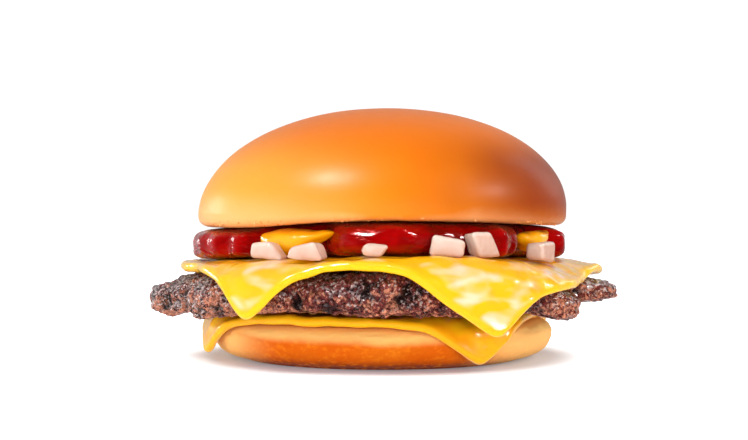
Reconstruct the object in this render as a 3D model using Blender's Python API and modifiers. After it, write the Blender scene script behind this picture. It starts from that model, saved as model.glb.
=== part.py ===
"""A cheeseburger: a bun, a thin smashed patty between two slices of melted cheese, and ketchup, mustard and diced onion.

Metres, +Z up, standing on the table at z = 0 with its axis on Z. The front, where the two long cheese corners hang,
faces -Y. An azimuth is an angle round the axis in degrees, 0 along +X and 270 at the front.
"""

import math

import bmesh
import bpy
import numpy as np
from mathutils import Matrix, Vector, noise

MM = 0.001
GAP = 0.3 * MM  # air left between pieces that touch

# Bun
CROWN_RADIUS = 50 * MM
CROWN_WIDEST = 38.7 * MM  # height of the crown's widest ring
CROWN_RISE = 28.9 * MM  # from the widest ring to the top
CROWN_UNDERSIDE = 37.0 * MM  # height of the cut face at the middle
CROWN_LOW_POWERS = (30, 2.5)  # how square the turn from the side to the cut face is
CROWN_LEAN = 0.9 * MM  # the dome's shoulders lie so far to the right
CROWN_SAG = (-34 * MM, 0.9 * MM, 16 * MM)  # the rim dips on the left: place to the side, depth and width
HEEL_RADIUS = 46 * MM
HEEL_WIDEST = 7.0 * MM
HEEL_HEIGHT = 11.3 * MM
HEEL_POWERS = (12, 2)
HEEL_FOOT_RADIUS = 38 * MM  # inside it the heel is flat on the table
BUN_UNEVENNESS = 0.5 * MM
BUN_WAVE = 38 * MM

# The layers over the heel bow down towards the two sides, by this much at the crown's rim
LAYER_BOW = 2.0 * MM

# Patty. Lobes are (azimuth, height, width in degrees) bumps on a round of this radius.
PATTY_RADIUS = 57.5 * MM
PATTY_THICKNESS = 11.7 * MM
PATTY_POWERS = (9, 3)
PATTY_LOBES = (
    (186, 6.6 * MM, 8),
    (203, -1.5 * MM, 5),
    (216, 2.2 * MM, 8),
    (356, 7.4 * MM, 9),
    (340, -4.4 * MM, 6),
    (326, 2.2 * MM, 7),
    (25, -1.6 * MM, 6),
    (43, 3.4 * MM, 9),
    (74, -1.8 * MM, 8),
    (101, 3.0 * MM, 9),
    (138, 2.6 * MM, 8),
    (160, -1.6 * MM, 6),
)
PATTY_TOP_DROOP = (
    (283, -1.9 * MM, 28),
    (248, 0.5 * MM, 12),
    (327, 3.2 * MM, 12),
    (355, 0.6 * MM, 12),
    (190, 0.8 * MM, 20),
    (40, 1.0 * MM, 30),
    (120, 1.4 * MM, 30),
)
PATTY_LOW_DROOP = (
    (193, 4.6 * MM, 22),
    (222, 3.4 * MM, 16),
    (326, 4.6 * MM, 14),
    (292, 2.0 * MM, 18),
    (270, 2.4 * MM, 32),
    (40, 2.4 * MM, 28),
    (115, 3.0 * MM, 30),
)
PATTY_TOP_DROOP_FROM = 40 * MM
PATTY_LOW_DROOP_FROM = 44 * MM
PATTY_DROOP_FULL = 59 * MM
PATTY_RING_CROWDING = 0.42  # a low power crowds the rings of points towards the patty's edge
CRAG_DEPTH = 1.5 * MM
CRAG_SIZE = 6.5 * MM
CRUMBLE_SIZE = 3.2 * MM
CRAG_SHARES = (0.5, 0.75, 0.45)  # how much of the depth is even, and follows the large and the small crags
CRAG_FROM = 0.72  # share of the radius where the torn edge begins
CRAG_ON_FLAT = 0.7  # share of the depth on the upper and lower faces

# Cheese. A slice reaches so far from the axis, measured along its surface, and further at its corners, which are
# (azimuth, extra reach, width in degrees). CORNER_POWER is how pointed they are.
CHEESE_THICKNESS = 2.1 * MM
CHEESE_STAND_OFF = 0.5 * MM  # more air where it bends over a rim
STAND_OFF_SLOPES = (math.radians(4), math.radians(20))  # it starts at the first slope and is whole at the second
CORNER_POWER = 1.3
CORNER_SOFTNESS = 2.0  # degrees that a corner's point is rounded over
SLICE_RINGS = 18  # rings of points, half of them on each face
TOP_SLICE_REACH = 55.5 * MM
TOP_SLICE_CORNERS = (
    (237.5, 13.2 * MM, 9),
    (295.6, 18.0 * MM, 13),
    (57, 11.0 * MM, 10),
    (121, 10.0 * MM, 10),
)
TOP_SLICE_SIDES = (
    (268, 0.3 * MM, 12),
    (180, -0.8 * MM, 25),
    (205, -2.2 * MM, 8),
    (218, 0.8 * MM, 10),
    (284, 2.4 * MM, 7),
    (322, 3.4 * MM, 14),
    (2, 5.0 * MM, 14),
    (90, -2.5 * MM, 16),
)
TOP_SLICE_HANG = math.radians(78)
TOP_SLICE_BEND = 45 * MM  # the rim's bend starts so far from the axis
LOW_SLICE_REACH = 44.0 * MM
LOW_SLICE_CORNERS = (
    (200, 11.5 * MM, 12),
    (299, 11.9 * MM, 14),
    (28, 11.5 * MM, 12),
    (112, 11.5 * MM, 12),
)
LOW_SLICE_SIDES = (
    (245, 1.0 * MM, 16),
    (340, -0.6 * MM, 14),
    (70, -0.8 * MM, 14),
)
LOW_SLICE_HANG = math.radians(80)
LOW_SLICE_BEND = 36 * MM

# Ketchup: its lip swells out in lobes, and draws back behind each onion and mustard dab
KETCHUP_REACH = 45.5 * MM
KETCHUP_POWERS = (15, 2.8)
KETCHUP_LOBES = (
    (190, 6.0 * MM, 24),
    (232, 3.0 * MM, 8),
    (270, 4.6 * MM, 13),
    (307, 4.6 * MM, 5),
    (346, 4.6 * MM, 10),
    (18, 4.0 * MM, 8),
    (51, 5.0 * MM, 8),
    (110, 5.0 * MM, 8),
    (141, 4.6 * MM, 8),
)
POCKET_AIR = 1.0 * MM  # between the ketchup's lip and what lies in front of it
POCKET_WIDTH = 1.45  # of a pocket, as a share of what lies in front of it
HIDDEN_AIR = 0.3 * MM  # extra air over and under the hidden middle of the ketchup
HIDDEN_WITHIN = (30 * MM, 42 * MM)  # the extra air starts to lessen at the first distance and ends at the second

# Mustard dabs: azimuth, distance of the middle from the axis, half sizes along the rim, across it and in height,
# and how far the dab sits above the cheese
MUSTARD_DABS = {
    "mustard_front_left": (238.6, 42.6 * MM, (9.4 * MM, 4.6 * MM, 2.9 * MM), 1.5 * MM),
    "mustard_front_right": (333, 43.4 * MM, (8.2 * MM, 3.6 * MM, 2.0 * MM), 3.2 * MM),
    "mustard_back": (88, 42.0 * MM, (9.0 * MM, 4.8 * MM, 2.9 * MM), 1.2 * MM),
}

MUSTARD_EDGE_POWER = 0.7  # below 1 a dab's rim is blunter than an egg's

# Onion dice: azimuth, distance from the axis, depth, turn in degrees, and the outline of the outer face in mm, which
# goes round from its upper left corner
ONION_DICE = (
    (236.0, 49.8 * MM, 5.0 * MM, 4, ((-4.6, 2.3), (1.4, 2.5), (4.9, -2.2), (-4.6, -1.6))),
    (249.8, 52.2 * MM, 5.2 * MM, -8, ((-3.7, 1.2), (2.9, 2.6), (4.9, -2.1), (-5.2, -1.7))),
    (267.5, 52.2 * MM, 3.8 * MM, 14, ((-2.4, 1.8), (3.6, 1.2), (1.4, -1.8), (-3.5, -0.7))),
    (287.6, 50.0 * MM, 5.4 * MM, -12, ((-3.5, 3.2), (4.5, 1.5), (4.0, -2.5), (-4.5, -2.1))),
    (298.8, 49.4 * MM, 5.2 * MM, 6, ((-4.4, 3.1), (1.5, 3.4), (4.7, -3.0), (-2.0, -3.1))),
    (322.6, 50.0 * MM, 5.2 * MM, 9, ((-4.0, 2.6), (4.5, 2.7), (3.7, -2.8), (-4.3, -2.0))),
    (5.0, 46.5 * MM, 5.4 * MM, -10, ((-3.2, 2.6), (3.4, 1.9), (3.8, -2.4), (-2.6, -2.5))),
    (33.5, 48.0 * MM, 5.2 * MM, 12, ((-4.4, 1.6), (2.2, 2.5), (4.6, -2.0), (-3.4, -2.4))),
    (67.0, 48.0 * MM, 5.6 * MM, -6, ((-1.6, 3.0), (3.9, 2.2), (2.0, -2.7), (-4.1, -2.3))),
    (80.0, 50.2 * MM, 4.6 * MM, 15, ((-3.9, 1.3), (2.8, 2.2), (3.7, -1.6), (-2.7, -2.2))),
    (96.5, 50.2 * MM, 4.6 * MM, -12, ((-3.0, 2.4), (3.4, 1.5), (4.4, -2.1), (-4.1, -1.8))),
    (125.5, 48.5 * MM, 5.4 * MM, 8, ((-4.2, 2.1), (0.8, 3.0), (4.1, -2.2), (-2.4, -2.9))),
    (157.0, 47.5 * MM, 5.0 * MM, -7, ((-3.7, 2.5), (4.4, 2.0), (3.1, -2.4), (-4.5, -1.8))),
)
ONION_INNER_FACE = 0.86  # its size, as a share of the outer face
ONION_EDGE = 0.7 * MM

PATTY_BOTTOM = HEEL_HEIGHT + CHEESE_THICKNESS + 2 * GAP
PATTY_TOP = PATTY_BOTTOM + PATTY_THICKNESS

# Colours, as linear red, green and blue, with the roughness
FINISHES = {
    "crust": ((0.72, 0.30, 0.06), 0.42),
    "heel_crust": ((0.78, 0.38, 0.10), 0.6),
    "meat": ((0.09, 0.03, 0.02), 0.5),
    "cheese": ((0.9, 0.55, 0.03), 0.3),
    "ketchup": ((0.42, 0.004, 0.006), 0.15),
    "mustard": ((0.9, 0.42, 0.01), 0.25),
    "onion": ((0.88, 0.82, 0.72), 0.3),
}


def angle_from(azimuth, centre):
    """Signed angle in degrees from a centre azimuth, the short way round."""
    return (np.degrees(azimuth) - centre + 180) % 360 - 180


def bumps(azimuth, lobes, power=2.0, softness=0.0):
    """Sum of rounded bumps round the axis, each (azimuth, height, width in degrees)."""
    total = np.zeros_like(np.asarray(azimuth, float))
    for centre, height, width in lobes:
        away = np.hypot(angle_from(azimuth, centre), softness) - softness
        total += height * np.exp(-((away / width) ** power))
    return total


def ramp(value, low, high):
    """0 below low and 1 above high, with a smooth turn at both ends."""
    share = np.clip((value - low) / (high - low), 0, 1)
    return share * share * (3 - 2 * share)


def bow(x):
    """How far the layers hang down at a distance x to the side."""
    return LAYER_BOW * (x / CROWN_RADIUS) ** 2


def patty_radius(azimuth):
    return PATTY_RADIUS + bumps(azimuth, PATTY_LOBES)


def patty_height(rho, azimuth, side):
    """Height of the patty's smooth upper (side 1) or lower (side -1) surface, over its radius at that azimuth."""
    top = (
        PATTY_TOP
        - bow(rho * np.cos(azimuth))
        - bumps(azimuth, PATTY_TOP_DROOP) * ramp(rho, PATTY_TOP_DROOP_FROM, PATTY_DROOP_FULL)
    )
    bottom = PATTY_BOTTOM - bumps(azimuth, PATTY_LOW_DROOP) * ramp(
        rho, PATTY_LOW_DROOP_FROM, PATTY_DROOP_FULL
    )
    across, upright = PATTY_POWERS
    share = np.clip(rho / patty_radius(azimuth), 0, 1)
    rounding = (1 - share**across) ** (1 / upright)
    return (top + bottom) / 2 + side * (top - bottom) / 2 * rounding


def heel_height(rho, azimuth, side):
    """Height of the heel's upper (side 1) or lower (side -1) surface."""
    across, upright = HEEL_POWERS
    rounding = (1 - np.clip(rho / HEEL_RADIUS, 0, 1) ** across) ** (1 / upright)
    rise = HEEL_HEIGHT - HEEL_WIDEST if side > 0 else HEEL_WIDEST
    return HEEL_WIDEST + side * rise * rounding


def draped_path(height, radius, azimuth, lift, hang, tail=40 * MM, steps=140):
    """A line that lies on a round layer and hangs over its rim, seen in the half plane at an azimuth.

    height(rho, azimuth, 1) is the layer's upper surface and lift the distance above it. Where the layer's side gets
    steeper than the angle hang, the line leaves it and runs straight down at that angle. Returns the distance along
    the line, the points (distance from the axis, height) and the unit normals.
    """
    rho = radius * (1 - (1 - np.linspace(0, 1, steps)) ** 3)
    points = np.stack([rho, height(rho, azimuth, 1)], axis=1)
    along = np.gradient(points, axis=0)
    along /= np.linalg.norm(along, axis=1)[:, None]
    steep = np.arctan2(-along[:, 1], along[:, 0])
    stop = int(np.argmax(steep > hang)) if (steep > hang).any() else steps
    along = along[:stop]
    normals = np.stack([-along[:, 1], along[:, 0]], axis=1)
    air = CHEESE_STAND_OFF * ramp(steep[:stop], *STAND_OFF_SLOPES)
    points = points[:stop] + (lift + air)[:, None] * normals
    down = np.array([math.cos(hang), -math.sin(hang)])
    out = np.array([math.sin(hang), math.cos(hang)])
    points = np.vstack([points, points[-1] + down * tail])
    normals = np.vstack([normals, out])
    gone = np.concatenate([[0], np.cumsum(np.linalg.norm(np.diff(points, axis=0), axis=1))])
    return gone, points, normals


def cheese_top_height(rho, azimuth):
    """Height of the top slice's upper surface at one place."""
    lift = GAP + CHEESE_THICKNESS
    _, points, _ = draped_path(patty_height, patty_radius(azimuth), azimuth, lift, TOP_SLICE_HANG)
    return np.interp(rho, points[:, 0], points[:, 1])


def crown_underside(x):
    """Height of the crown's cut face at a distance x to the side."""
    place, depth, width = CROWN_SAG
    return CROWN_UNDERSIDE - bow(x) - depth * np.exp(-(((x - place) / width) ** 2))


def crowded_azimuths(count, corners, crowding=2.2, spread=16):
    """Azimuths for the columns of a mesh, closer together near the corners, with one column at the first corner."""
    fine = np.linspace(0, 2 * np.pi, 1441)
    density = 1 + bumps(fine, [(corner[0], crowding, spread) for corner in corners])
    gone = np.concatenate([[0], np.cumsum((density[1:] + density[:-1]) / 2)])
    first = np.interp(math.radians(corners[0][0]), fine, gone)
    wanted = (first + np.arange(count) * gone[-1] / count) % gone[-1]
    return np.sort(np.interp(wanted, gone, fine))


def finish(name):
    colour, roughness = FINISHES[name]
    material = bpy.data.materials.get(name) or bpy.data.materials.new(name)
    material.use_nodes = True
    shader = material.node_tree.nodes["Principled BSDF"]
    shader.inputs["Base Color"].default_value = (*colour, 1)
    shader.inputs["Roughness"].default_value = roughness
    shader.inputs["Metallic"].default_value = 0
    material.diffuse_color = (*colour, 1)
    return material


def mapped_ball(name, finish_name, columns, rings, place, at=(0, 0, 0)):
    """A ball whose points are moved to place(azimuths, polar angles), as an object standing at a point.

    columns is a number of azimuths, or the azimuths themselves.
    """
    azimuths = np.linspace(0, 2 * np.pi, columns, endpoint=False) if isinstance(columns, int) else columns
    count = len(azimuths)
    ball = bmesh.new()
    bmesh.ops.create_uvsphere(ball, u_segments=count, v_segments=rings, radius=1)
    polar = np.array([math.acos(max(-1, min(1, v.co.z))) for v in ball.verts])
    turn = np.array([math.atan2(v.co.y, v.co.x) % (2 * math.pi) for v in ball.verts])
    column = np.round(turn / (2 * math.pi) * count).astype(int) % count
    points = place(azimuths[column], polar) - np.array(at)
    for vertex, point in zip(ball.verts, points):
        vertex.co = point
    mesh = bpy.data.meshes.new(name)
    ball.to_mesh(mesh)
    ball.free()
    mesh.materials.append(finish(finish_name))
    mesh.shade_smooth()
    piece = bpy.data.objects.new(name, mesh)
    piece.location = at
    return piece


def polar_points(rho, azimuth, height):
    return np.stack([rho * np.cos(azimuth), rho * np.sin(azimuth), height], axis=1)


def unevenness(points, seed):
    """A slow swell of the surface at each point, between about -1 and 1."""
    shift = Vector((seed * 7.3, seed * 3.1, seed * 5.9))
    return np.array([noise.noise(Vector(p) / BUN_WAVE + shift) for p in points])


def crown_place(azimuth, polar):
    """The crown: half an egg above its widest ring, and a nearly square turn to the cut face below it."""
    across, upright = CROWN_LOW_POWERS
    up = np.cos(polar) > 0
    rho = CROWN_RADIUS * np.where(up, np.sin(polar), np.sin(polar) ** (2 / across))
    x = rho * np.cos(azimuth)
    low = CROWN_WIDEST - (CROWN_WIDEST - crown_underside(x)) * np.abs(np.cos(polar)) ** (2 / upright)
    points = polar_points(rho, azimuth, np.where(up, CROWN_WIDEST + CROWN_RISE * np.cos(polar), low))
    points[up, 0] += CROWN_LEAN * np.sin(2 * polar[up])
    swell = BUN_UNEVENNESS * unevenness(points, seed=1) * np.sin(np.minimum(polar, math.pi / 2))
    points[:, :2] *= (1 + swell / CROWN_RADIUS)[:, None]
    points[up, 2] += BUN_UNEVENNESS * unevenness(points[up], seed=2) * np.cos(polar[up])
    return points


def heel_place(azimuth, polar):
    """The heel: a low round with soft shoulders, flat on the table."""
    rho = HEEL_RADIUS * np.sin(polar) ** (2 / HEEL_POWERS[0])
    side = np.where(np.cos(polar) > 0, 1, -1)
    height = np.where(side > 0, heel_height(rho, azimuth, 1), heel_height(rho, azimuth, -1))
    points = polar_points(rho, azimuth, height)
    points[(side < 0) & (rho < HEEL_FOOT_RADIUS), 2] = 0
    swell = BUN_UNEVENNESS * np.minimum(unevenness(points, seed=3), 0) * (1 - np.abs(np.cos(polar)))
    points[:, :2] *= (1 + swell / HEEL_RADIUS)[:, None]
    return points


def crag_depth(points):
    """How far the patty's torn surface lies inside its smooth envelope, from 0 to about 1."""
    depth = []
    even, large, small = CRAG_SHARES
    for p in points:
        lump = noise.noise(Vector(p) / CRAG_SIZE + Vector((3.7, 9.1, 1.3)))
        crumb = noise.noise(Vector(p) / CRUMBLE_SIZE + Vector((8.2, 0.4, 6.6)))
        depth.append(even + large * lump + small * crumb)
    return np.clip(depth, 0, 1.3)


def patty_place(azimuth, polar):
    """The patty: a flat irregular round with drooping lobes, torn and crumbly at its edge."""
    radius = patty_radius(azimuth)
    share = np.sin(polar) ** PATTY_RING_CROWDING
    side = np.where(np.cos(polar) > 0, 1, -1)
    rho = radius * share
    height = np.where(side > 0, patty_height(rho, azimuth, 1), patty_height(rho, azimuth, -1))
    middle = (patty_height(rho, azimuth, 1) + patty_height(rho, azimuth, -1)) / 2
    points = polar_points(rho, azimuth, height)
    depth = CRAG_DEPTH * crag_depth(points)
    edge = ramp(share, CRAG_FROM, 1.0)
    points[:, :2] *= (1 - depth * edge / np.maximum(rho, MM))[:, None]
    flat = ramp(np.abs(np.cos(polar)), 0.0, 0.5)
    points[:, 2] += (middle - height) * np.minimum(flat * depth * CRAG_ON_FLAT / (PATTY_THICKNESS / 2), 0.9)
    return points


def slice_rings(reach, bend):
    """Distances from the axis for a slice's rings of points: few where it lies flat, more round the bend."""
    flat = bend * np.array([0, 0.5, 0.84])
    hanging = bend + (reach - bend) * np.array([0, 0.2, 0.4, 0.6, 0.82]) ** 1.4
    return np.concatenate([flat, hanging, [reach - 0.3 * CHEESE_THICKNESS, reach]])


def slice_place(height, radius, lift, hang, bend, reach, corners, sides):
    """The mapping for a cheese slice that lies on a layer and hangs over its rim at the corners."""
    last = len(slice_rings(reach, bend)) - 1
    half_thickness = CHEESE_THICKNESS / 2 * np.array([1] * (last - 1) + [0.8, 0])

    def place(azimuth, polar):
        points = np.zeros((len(azimuth), 3))
        from_top = np.round(polar / math.pi * 2 * last).astype(int)
        ring = np.minimum(from_top, 2 * last - from_top)
        across = half_thickness[ring] * np.where(from_top < last, 1, -1)
        for turn in np.unique(azimuth):
            column = azimuth == turn
            layer_radius = radius(turn) if callable(radius) else radius
            gone, line, normals = draped_path(height, layer_radius, turn, lift, hang)
            full = reach + bumps(turn, corners, CORNER_POWER, CORNER_SOFTNESS) + bumps(turn, sides)
            distance = slice_rings(full, bend)[ring[column]]
            at = [np.interp(distance, gone, line[:, k]) for k in (0, 1)]
            out = [np.interp(distance, gone, normals[:, k]) for k in (0, 1)]
            rho = at[0] + across[column] * out[0]
            rise = at[1] + across[column] * out[1]
            points[column] = np.stack([rho * math.cos(turn), rho * math.sin(turn), rise], axis=1)
        return points

    return place


def ketchup_reach(azimuth):
    """How far the ketchup's lip reaches from the axis."""
    reach = KETCHUP_REACH + bumps(azimuth, KETCHUP_LOBES)
    fronts = [(facts[0], facts[1], facts[2][0], facts[2][1]) for facts in MUSTARD_DABS.values()]
    for centre, distance, depth, _, outline in ONION_DICE:
        fronts.append((centre, distance, max(abs(across) for across, _ in outline) * MM, depth / 2))
    for centre, distance, half_along, half_across in fronts:
        half_angle = math.degrees(half_along / distance)
        behind = np.exp(-((np.abs(angle_from(azimuth, centre)) / (POCKET_WIDTH * half_angle)) ** 8))
        reach = reach + behind * np.minimum(distance - half_across - POCKET_AIR - reach, 0)
    return reach


def ketchup_place(azimuth, polar):
    """The ketchup: a pool that fills the space under the crown, with a round swollen lip."""
    across, upright = KETCHUP_POWERS
    rho = ketchup_reach(azimuth) * np.sin(polar) ** (2 / across)
    hidden = HIDDEN_AIR * (1 - ramp(rho, *HIDDEN_WITHIN))
    bed = np.array([cheese_top_height(r, a) for r, a in zip(rho, azimuth)]) + GAP + hidden
    roof = crown_underside(rho * np.cos(azimuth)) - GAP - hidden
    rounding = np.sign(np.cos(polar)) * np.abs(np.cos(polar)) ** (2 / upright)
    return polar_points(rho, azimuth, (bed + roof) / 2 + (roof - bed) / 2 * rounding)


def mustard_dab(name, azimuth, distance, half_sizes, lift):
    """A flattened drop of mustard against the crown's cut face, long along the rim."""
    turn = math.radians(azimuth)
    along, across, tall = half_sizes
    foot = (distance * math.cos(turn), distance * math.sin(turn))
    middle = (*foot, cheese_top_height(distance, turn) + lift + tall)
    spin = Matrix.Rotation(turn + math.pi / 2, 3, "Z")

    def place(angle, polar):
        flat = np.sin(polar) ** MUSTARD_EDGE_POWER
        local = np.stack(
            [along * flat * np.cos(angle), across * flat * np.sin(angle), tall * np.cos(polar)], axis=1
        )
        points = local @ np.array(spin).T + np.array(middle)
        roof = crown_underside(points[:, 0]) - GAP
        points[:, 2] = np.minimum(points[:, 2], roof)
        return points

    return mapped_ball(name, "mustard", 14, 8, place, at=middle)


def onion_die(name, azimuth, distance, depth, turn, outline):
    """A diced piece of onion, standing on the cheese, with its edges just broken."""
    heading = math.radians(azimuth)
    die = bmesh.new()
    bmesh.ops.create_cube(die, size=1)
    upper_left, upper_right, lower_right, lower_left = outline
    for vertex in die.verts:
        left, right = (upper_left, upper_right) if vertex.co.z > 0 else (lower_left, lower_right)
        across, up = left if vertex.co.x < 0 else right
        share = ONION_INNER_FACE if vertex.co.y > 0 else 1
        vertex.co = (across * share * MM, vertex.co.y * depth, up * share * MM)
    spin = Matrix.Rotation(heading + math.pi / 2 + math.radians(turn), 4, "Z")
    foot = Vector((distance * math.cos(heading), distance * math.sin(heading), 0))
    lowest = -1.0
    for vertex in die.verts:
        corner = foot + spin @ vertex.co
        bed = cheese_top_height(math.hypot(corner.x, corner.y), math.atan2(corner.y, corner.x) % (2 * math.pi))
        lowest = max(lowest, bed + GAP - corner.z)
    mesh = bpy.data.meshes.new(name)
    die.to_mesh(mesh)
    die.free()
    mesh.materials.append(finish("onion"))
    piece = bpy.data.objects.new(name, mesh)
    piece.matrix_world = Matrix.Translation((foot.x, foot.y, lowest)) @ spin
    edges = piece.modifiers.new("broken edges", "BEVEL")
    edges.width = ONION_EDGE
    edges.segments = 1
    return piece


def clear_scene():
    for thing in list(bpy.data.objects):
        bpy.data.objects.remove(thing, do_unlink=True)


def main():
    clear_scene()
    burger = bpy.data.collections.new("cheeseburger")
    bpy.context.scene.collection.children.link(burger)
    stand = bpy.data.objects.new("cheeseburger", None)
    burger.objects.link(stand)

    top_slice = slice_place(
        patty_height,
        patty_radius,
        GAP + CHEESE_THICKNESS / 2,
        TOP_SLICE_HANG,
        TOP_SLICE_BEND,
        TOP_SLICE_REACH,
        TOP_SLICE_CORNERS,
        TOP_SLICE_SIDES,
    )
    low_slice = slice_place(
        heel_height,
        HEEL_RADIUS,
        GAP + CHEESE_THICKNESS / 2,
        LOW_SLICE_HANG,
        LOW_SLICE_BEND,
        LOW_SLICE_REACH,
        LOW_SLICE_CORNERS,
        LOW_SLICE_SIDES,
    )
    pieces = [
        mapped_ball("bun_crown", "crust", 44, 16, crown_place, at=(0, 0, CROWN_UNDERSIDE)),
        mapped_ball("bun_heel", "heel_crust", 44, 10, heel_place),
        mapped_ball("patty", "meat", 96, 20, patty_place, at=(0, 0, PATTY_BOTTOM)),
        mapped_ball(
            "cheese_top",
            "cheese",
            crowded_azimuths(72, TOP_SLICE_CORNERS),
            SLICE_RINGS,
            top_slice,
            at=(0, 0, PATTY_TOP),
        ),
        mapped_ball(
            "cheese_bottom",
            "cheese",
            crowded_azimuths(56, LOW_SLICE_CORNERS),
            SLICE_RINGS,
            low_slice,
            at=(0, 0, HEEL_HEIGHT),
        ),
        mapped_ball("ketchup", "ketchup", 96, 8, ketchup_place, at=(0, 0, PATTY_TOP)),
    ]
    for name, facts in MUSTARD_DABS.items():
        pieces.append(mustard_dab(name, *facts))
    for number, facts in enumerate(ONION_DICE, start=1):
        pieces.append(onion_die(f"onion_{number:02d}", *facts))
    for piece in pieces:
        burger.objects.link(piece)
        piece.parent = stand


main()
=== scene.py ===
"""Looks of the cheeseburger, laid out as an add-on and run as a script.

Every piece is worked out from the same sizes as its solid, at the fineness that the eye sees. An azimuth is
an angle round the burger's axis in degrees, 0 along +X and 270 at the front.
"""

import math

import bmesh
import bpy
import numpy as np
from bpy.props import FloatProperty, FloatVectorProperty, IntProperty, PointerProperty
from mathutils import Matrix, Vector, noise


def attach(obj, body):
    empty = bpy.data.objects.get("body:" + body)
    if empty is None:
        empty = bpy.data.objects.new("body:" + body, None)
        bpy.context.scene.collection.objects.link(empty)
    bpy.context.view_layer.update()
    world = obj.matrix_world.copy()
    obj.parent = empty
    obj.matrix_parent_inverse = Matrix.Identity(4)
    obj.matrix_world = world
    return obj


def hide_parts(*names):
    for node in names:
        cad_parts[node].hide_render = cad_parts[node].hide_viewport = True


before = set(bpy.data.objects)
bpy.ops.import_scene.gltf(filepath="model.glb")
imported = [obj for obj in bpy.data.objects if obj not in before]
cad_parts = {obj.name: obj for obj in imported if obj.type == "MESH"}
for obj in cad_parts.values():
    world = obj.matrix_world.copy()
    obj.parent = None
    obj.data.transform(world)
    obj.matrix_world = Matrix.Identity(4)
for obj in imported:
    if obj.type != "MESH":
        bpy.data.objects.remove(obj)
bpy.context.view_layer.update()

bl_info = {
    "name": "Cheeseburger",
    "version": (1, 0, 0),
    "blender": (4, 5, 0),
    "location": "View3D > Sidebar > Burger",
    "description": "Builds a cheeseburger piece by piece",
    "category": "Add Mesh",
}

MM = 0.001
TOUCH = 0.05 * MM  # air left between pieces that touch


def lobes(*rows):
    """Rows of azimuth, height in millimetres and width in degrees."""
    return [(azimuth, height * MM, width) for azimuth, height, width in rows]


def lengths(*rows):
    """Rows of azimuth and then lengths in millimetres."""
    return [(azimuth, *(size * MM for size in sizes)) for azimuth, *sizes in rows]


# Bun
CROWN_RADIUS = 50 * MM
CROWN_WIDEST = 38.7 * MM
CROWN_RISE = 28.9 * MM
CROWN_UNDERSIDE = 37.0 * MM
CROWN_LOW_POWERS = (30, 2.5)
CROWN_LEAN = 0.9 * MM
CROWN_SAG = (-34 * MM, 0.9 * MM, 16 * MM)
HEEL_RADIUS = 46 * MM
HEEL_WIDEST = 7.0 * MM
HEEL_HEIGHT = 11.3 * MM
HEEL_POWERS = (12, 2)
HEEL_FOOT_RADIUS = 38 * MM
BUN_UNEVENNESS = 0.5 * MM
BUN_WAVE = 38 * MM
LAYER_BOW = 2.0 * MM

# Patty
PATTY_RADIUS = 57.5 * MM
PATTY_THICKNESS = 11.7 * MM
PATTY_POWERS = (9, 3)
PATTY_LOBES = lobes(
    (186, 6.6, 8), (203, -1.5, 5), (216, 2.2, 8), (356, 7.4, 9), (340, -4.4, 6), (326, 2.2, 7),
    (25, -1.6, 6), (43, 3.4, 9), (74, -1.8, 8), (101, 3.0, 9), (138, 2.6, 8), (160, -1.6, 6),
)
PATTY_TOP_DROOP = lobes(
    (283, -1.9, 28), (248, 0.5, 12), (327, 3.2, 12), (355, 0.6, 12), (190, 0.8, 20), (40, 1.0, 30),
    (120, 1.4, 30),
)
PATTY_LOW_DROOP = lobes(
    (193, 4.6, 22), (222, 3.4, 16), (326, 4.6, 14), (292, 2.0, 18), (270, 2.4, 32), (40, 2.4, 28),
    (115, 3.0, 30),
)
PATTY_TOP_DROOP_FROM = 40 * MM
PATTY_LOW_DROOP_FROM = 44 * MM
PATTY_DROOP_FULL = 59 * MM
CRAG_DEPTH = 1.5 * MM
CRAG_SIZE = 6.5 * MM
CRUMBLE_SIZE = 3.2 * MM

# Cheese
CHEESE_THICKNESS = 2.1 * MM
CHEESE_STAND_OFF = 0.5 * MM
CHEESE_AIR = 0.3 * MM
CORNER_POWER = 1.3
CORNER_SOFTNESS = 1.2
TOP_SLICE_REACH = 55.5 * MM
TOP_SLICE_CORNERS = lobes((237.5, 13.2, 9), (295.6, 18.0, 13), (57, 11.0, 10), (121, 10.0, 10))
TOP_SLICE_SIDES = lobes(
    (268, 0.3, 12), (180, -0.8, 25), (205, -2.2, 8), (218, 0.8, 10), (284, 2.4, 7), (322, 3.4, 14),
    (2, 5.0, 14), (90, -2.5, 16),
)
TOP_SLICE_HANG = math.radians(78)
TOP_SLICE_BEND = 45 * MM
LOW_SLICE_REACH = 44.0 * MM
LOW_SLICE_CORNERS = lobes((200, 11.5, 12), (299, 11.9, 14), (28, 11.5, 12), (112, 11.5, 12))
LOW_SLICE_SIDES = lobes((245, 1.0, 16), (340, -0.6, 14), (70, -0.8, 14))
LOW_SLICE_HANG = math.radians(80)
LOW_SLICE_BEND = 36 * MM

# Sauces
KETCHUP_REACH = 45.5 * MM
KETCHUP_POWERS = (15, 3.4)
KETCHUP_LOBES = lobes(
    (190, 6.0, 24), (232, 3.0, 8), (270, 4.6, 13), (307, 4.6, 5), (349, 4.6, 9), (18, 4.0, 8),
    (51, 5.0, 8), (110, 5.0, 8), (141, 4.6, 8),
)
POCKET_AIR = -0.6 * MM  # the ketchup laps round what lies in front of it
MUSTARD_DABS = {
    "mustard_front_left": (238.6, 42.6 * MM, (9.4 * MM, 4.6 * MM, 2.9 * MM), 1.5 * MM),
    "mustard_front_right": (333, 43.4 * MM, (8.2 * MM, 3.6 * MM, 2.0 * MM), 3.2 * MM),
    "mustard_back": (88, 42.0 * MM, (9.0 * MM, 4.8 * MM, 2.9 * MM), 1.2 * MM),
}
MUSTARD_EDGE_POWER = 0.7

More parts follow.
